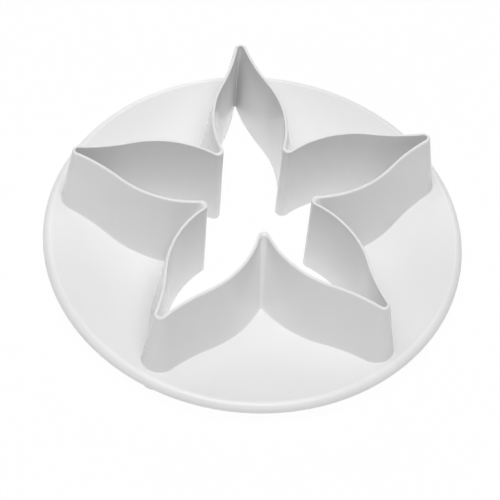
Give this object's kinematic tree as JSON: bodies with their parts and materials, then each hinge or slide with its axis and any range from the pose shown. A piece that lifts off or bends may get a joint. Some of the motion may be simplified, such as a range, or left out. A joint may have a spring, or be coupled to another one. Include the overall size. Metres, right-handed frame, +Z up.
{
  "type": "calyx cutter",
  "caption": "Open star-shaped calyx cutter for sugar paste: a thin drafted cutting wall of ogee petals on a round dished hand flange with a rounded rim.",
  "frame": {"origin": "middle of the resting face, under the centre of the star", "axes": "+Z up towards the cutting edge, +Y along one petal, +X to the right when looking along that petal"},
  "size_m": [0.0966, 0.0966, 0.0233],
  "materials": {
    "white_plastic": "satin white moulded plastic"
  },
  "bodies": {
    "root": {"hand_flange": "white_plastic", "flange_rim": "white_plastic", "calyx_wall": "white_plastic", "cutting_edge": "white_plastic"}
  },
  "joints": []
}
